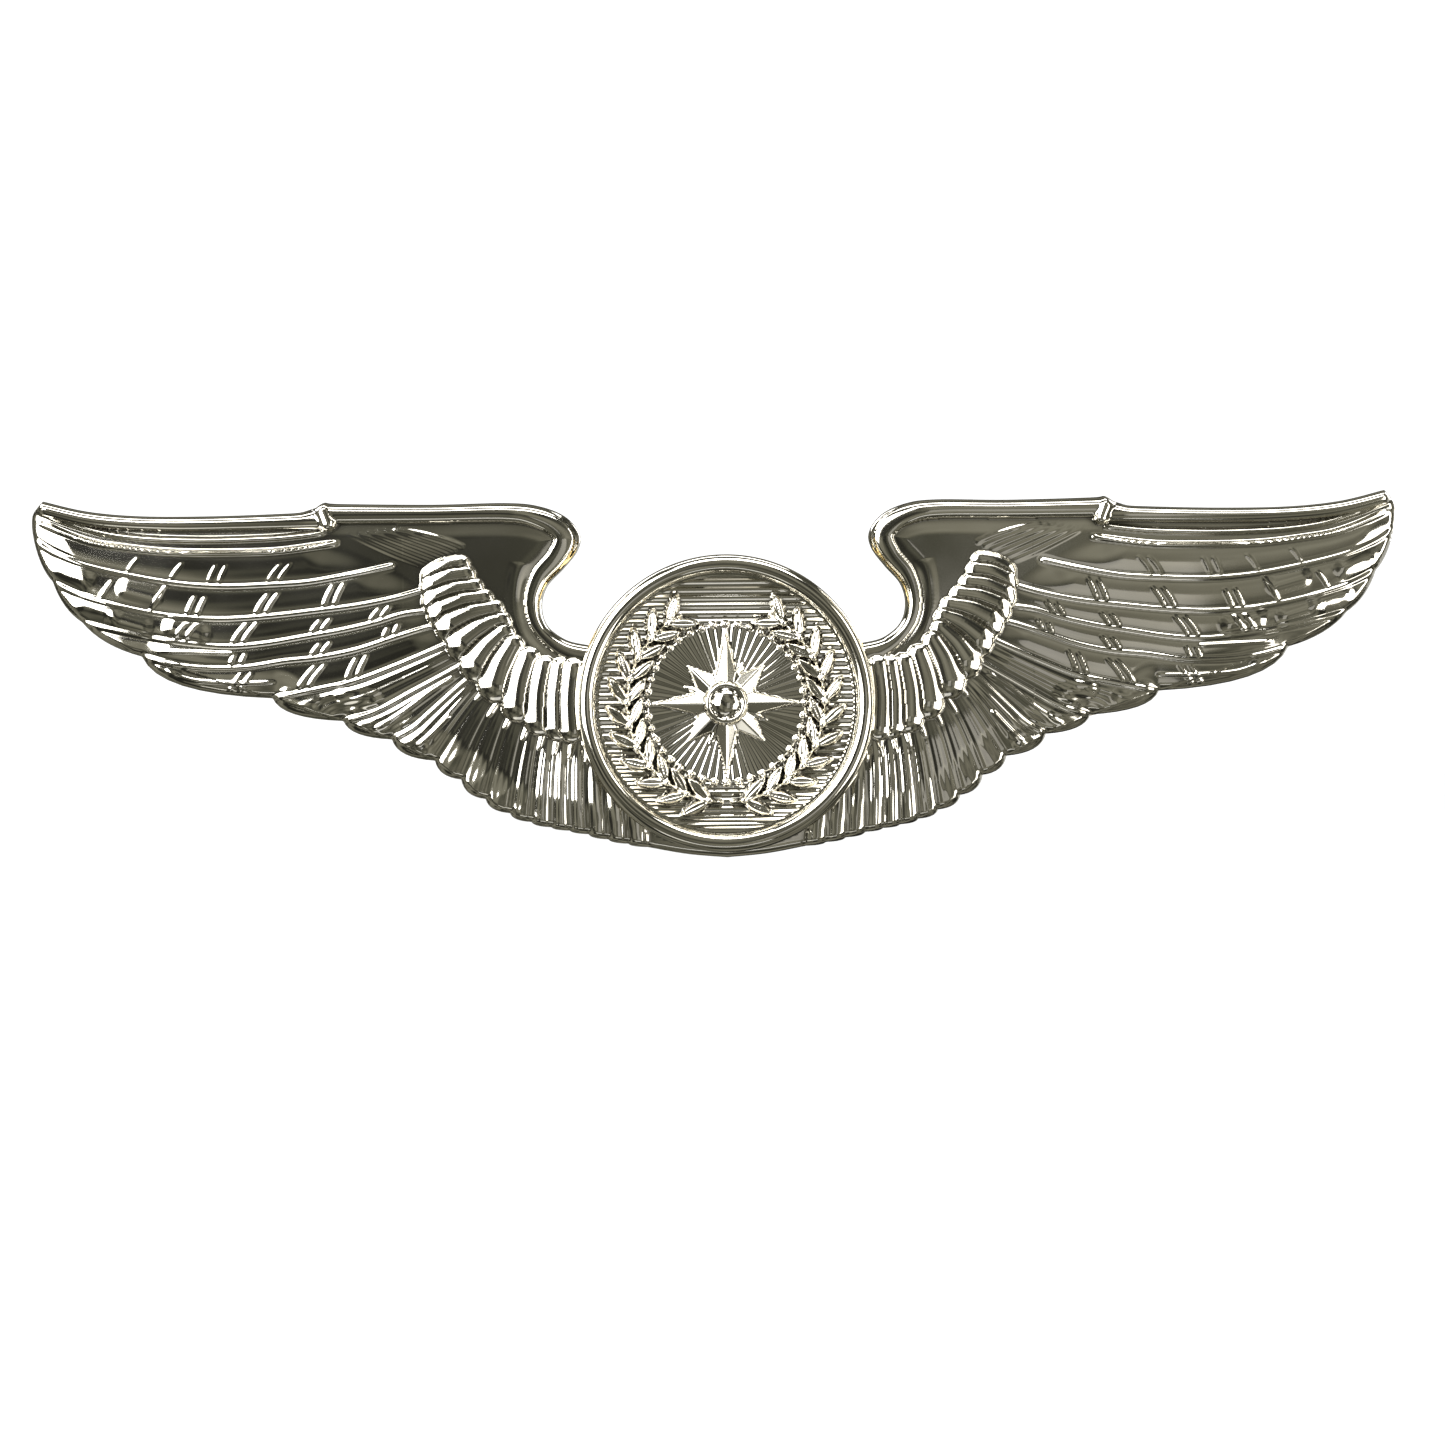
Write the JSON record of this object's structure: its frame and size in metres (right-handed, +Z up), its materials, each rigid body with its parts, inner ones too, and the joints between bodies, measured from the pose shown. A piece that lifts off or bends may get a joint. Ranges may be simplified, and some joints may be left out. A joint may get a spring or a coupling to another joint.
{
  "type": "pilot wings badge",
  "caption": "Uniform wings badge with a round medallion, held through cloth by posts and butterfly clutches on its back.",
  "frame": {"origin": "on the flat of the back, behind the medallion's centre", "axes": "upright as worn: +X along the span to the viewer's right, +Z up, the face looks along -Y and the posts stand along +Y"},
  "size_m": [0.0763, 0.0114, 0.0202],
  "materials": {
    "polished_silver": "mirror polished",
    "post_metal": "bright drawn",
    "solder": "dull",
    "clutch_brass": "bright",
    "spring_steel": "bright"
  },
  "bodies": {
    "badge": {"wing_plate": "polished_silver", "medallion": "polished_silver", "left_post": "post_metal", "center_post": "post_metal", "right_post": "post_metal", "post_solder": "solder"},
    "left_clutch_base": {"left_clutch_base": "clutch_brass"},
    "left_clutch_cover": {"left_clutch_cover": "clutch_brass", "left_clutch_spring": "spring_steel"},
    "left_clutch_left_ear": {"left_clutch_left_ear": "clutch_brass"},
    "left_clutch_right_ear": {"left_clutch_right_ear": "clutch_brass"},
    "center_clutch_base": {"center_clutch_base": "clutch_brass"},
    "center_clutch_cover": {"center_clutch_cover": "clutch_brass", "center_clutch_spring": "spring_steel"},
    "center_clutch_left_ear": {"center_clutch_left_ear": "clutch_brass"},
    "center_clutch_right_ear": {"center_clutch_right_ear": "clutch_brass"},
    "right_clutch_base": {"right_clutch_base": "clutch_brass"},
    "right_clutch_cover": {"right_clutch_cover": "clutch_brass", "right_clutch_spring": "spring_steel"},
    "right_clutch_left_ear": {"right_clutch_left_ear": "clutch_brass"},
    "right_clutch_right_ear": {"right_clutch_right_ear": "clutch_brass"}
  },
  "joints": [
    {"name": "left_clutch_pull", "type": "slide", "parent": "badge", "child": "left_clutch_base", "axis": [0, 1, 0], "range_m": [-0.002, 0.009]},
    {"name": "left_clutch_turn", "type": "hinge", "parent": "left_clutch_base", "child": "left_clutch_cover", "pos_m": [-0.0195, 0.00292, 0.0048], "axis": [0, 1, 0], "continuous": true},
    {"name": "left_clutch_right_squeeze", "type": "hinge", "parent": "left_clutch_cover", "child": "left_clutch_right_ear", "pos_m": [-0.0157, 0.00622, 0.0048], "axis": [0, 0, 1], "range_deg": [0, 12], "stiffness_Nm_per_rad": 0.004},
    {"name": "left_clutch_left_squeeze", "type": "hinge", "parent": "left_clutch_cover", "child": "left_clutch_left_ear", "pos_m": [-0.0233, 0.00622, 0.0048], "axis": [0, 0, -1], "range_deg": [0, 12], "stiffness_Nm_per_rad": 0.004},
    {"name": "center_clutch_pull", "type": "slide", "parent": "badge", "child": "center_clutch_base", "axis": [0, 1, 0], "range_m": [-0.002, 0.009]},
    {"name": "center_clutch_turn", "type": "hinge", "parent": "center_clutch_base", "child": "center_clutch_cover", "pos_m": [0, 0.0021, 0], "axis": [0, 1, 0], "continuous": true},
    {"name": "center_clutch_right_squeeze", "type": "hinge", "parent": "center_clutch_cover", "child": "center_clutch_right_ear", "pos_m": [0.0038, 0.0054, 0], "axis": [0, 0, 1], "range_deg": [0, 12], "stiffness_Nm_per_rad": 0.004},
    {"name": "center_clutch_left_squeeze", "type": "hinge", "parent": "center_clutch_cover", "child": "center_clutch_left_ear", "pos_m": [-0.0038, 0.0054, 0], "axis": [0, 0, -1], "range_deg": [0, 12], "stiffness_Nm_per_rad": 0.004},
    {"name": "right_clutch_pull", "type": "slide", "parent": "badge", "child": "right_clutch_base", "axis": [0, 1, 0], "range_m": [-0.002, 0.009]},
    {"name": "right_clutch_turn", "type": "hinge", "parent": "right_clutch_base", "child": "right_clutch_cover", "pos_m": [0.0195, 0.00292, 0.0048], "axis": [0, 1, 0], "continuous": true},
    {"name": "right_clutch_right_squeeze", "type": "hinge", "parent": "right_clutch_cover", "child": "right_clutch_right_ear", "pos_m": [0.0233, 0.00622, 0.0048], "axis": [0, 0, 1], "range_deg": [0, 12], "stiffness_Nm_per_rad": 0.004},
    {"name": "right_clutch_left_squeeze", "type": "hinge", "parent": "right_clutch_cover", "child": "right_clutch_left_ear", "pos_m": [0.0157, 0.00622, 0.0048], "axis": [0, 0, -1], "range_deg": [0, 12], "stiffness_Nm_per_rad": 0.004}
  ],
  "couplings": [
    {"joint": "left_clutch_left_squeeze", "follows": "left_clutch_right_squeeze", "ratio": 1},
    {"joint": "center_clutch_left_squeeze", "follows": "center_clutch_right_squeeze", "ratio": 1},
    {"joint": "right_clutch_left_squeeze", "follows": "right_clutch_right_squeeze", "ratio": 1}
  ]
}
